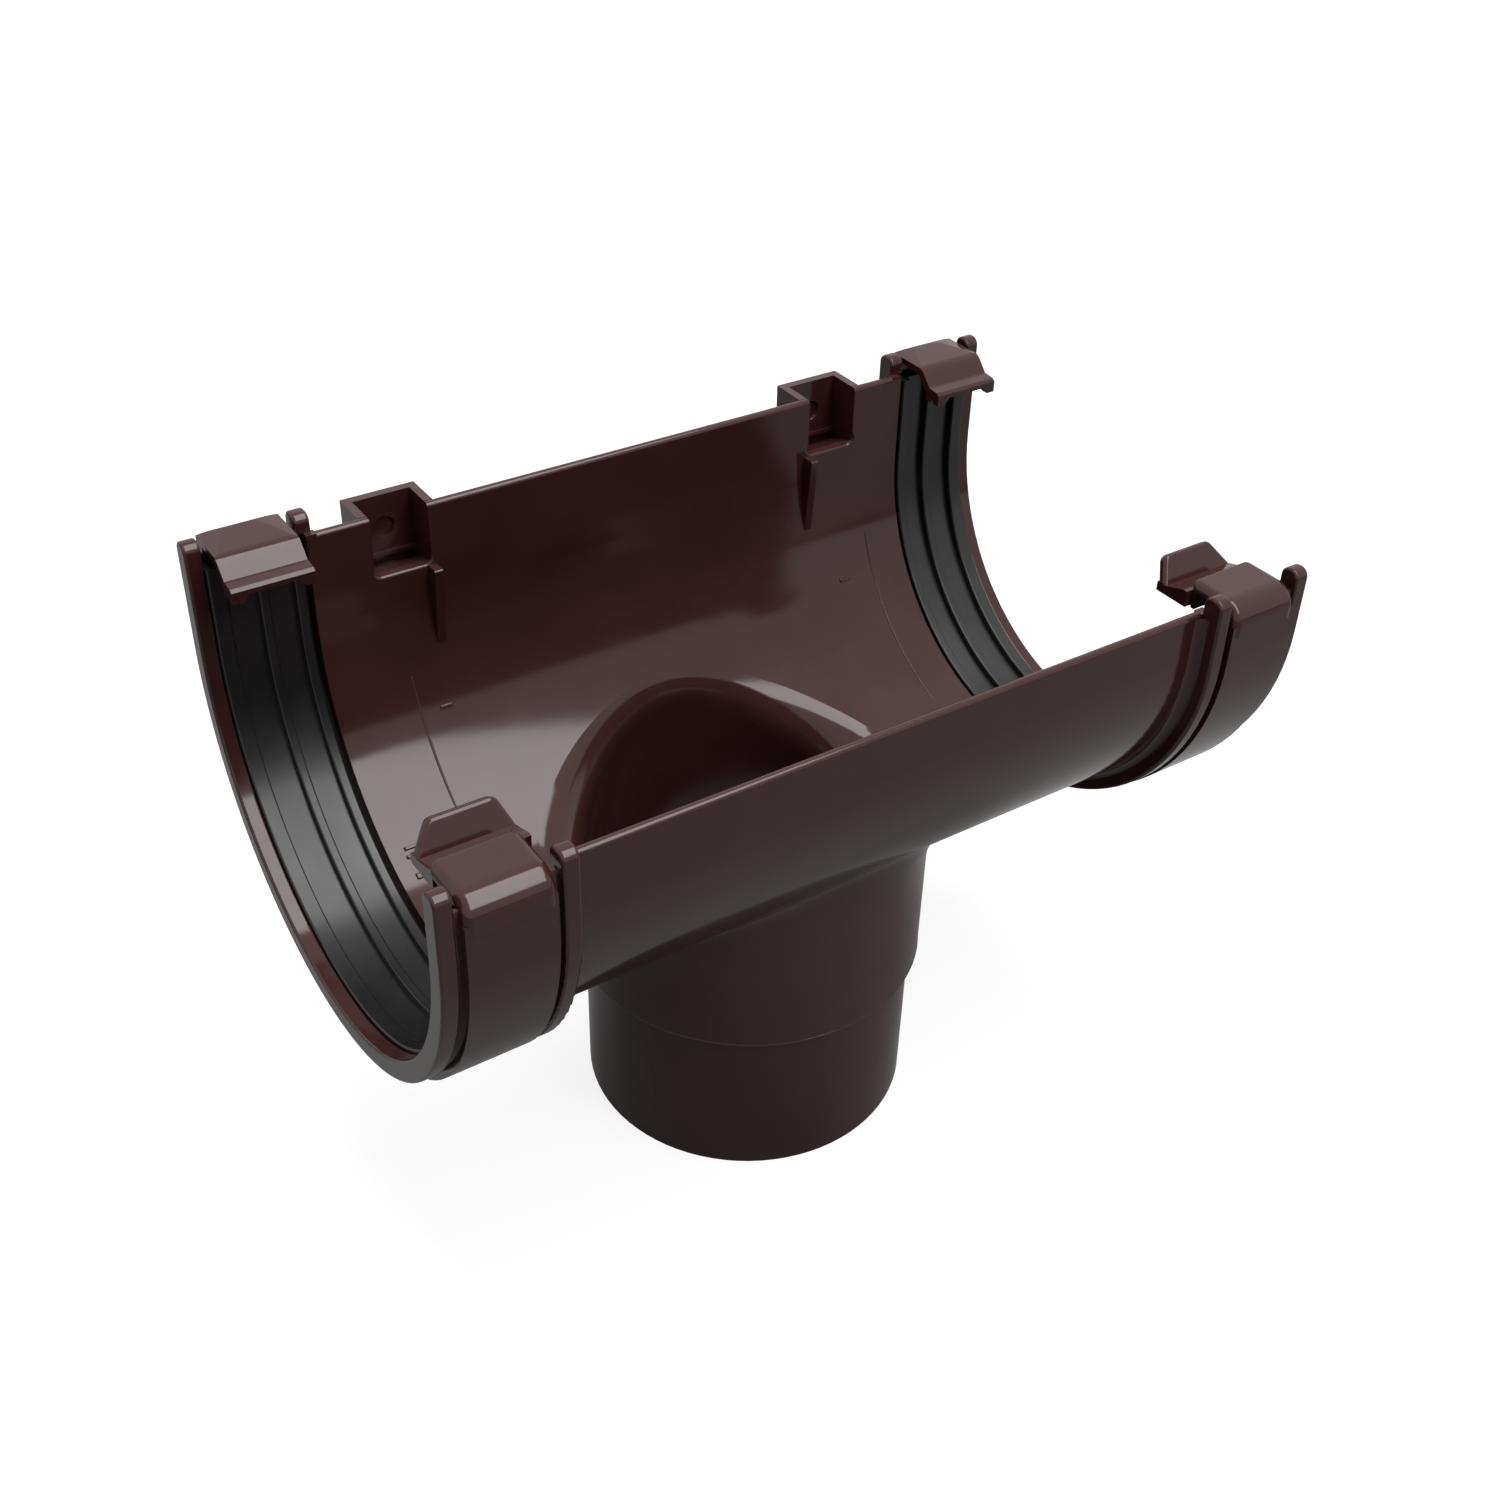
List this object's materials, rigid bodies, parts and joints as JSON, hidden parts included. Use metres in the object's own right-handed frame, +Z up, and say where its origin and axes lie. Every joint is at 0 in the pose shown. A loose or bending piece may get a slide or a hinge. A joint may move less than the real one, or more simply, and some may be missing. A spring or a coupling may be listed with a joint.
{
  "type": "gutter outlet",
  "caption": "Half-round gutter outlet: a trough with a sealed clip-in socket at each end, fixing pockets in its wall side and a round spigot below for the downpipe.",
  "frame": {"origin": "middle of the open lower end of the spigot", "axes": "+X along the gutter, +Y towards the wall, +Z up along the spigot axis"},
  "size_m": [0.212, 0.1282, 0.152],
  "materials": {
    "brown_plastic": "glossy dark brown moulded plastic",
    "seal_rubber": "smooth black rubber with a soft sheen"
  },
  "bodies": {
    "root": {"outlet_body": "brown_plastic", "seal_left": "seal_rubber", "seal_right": "seal_rubber"}
  },
  "joints": []
}
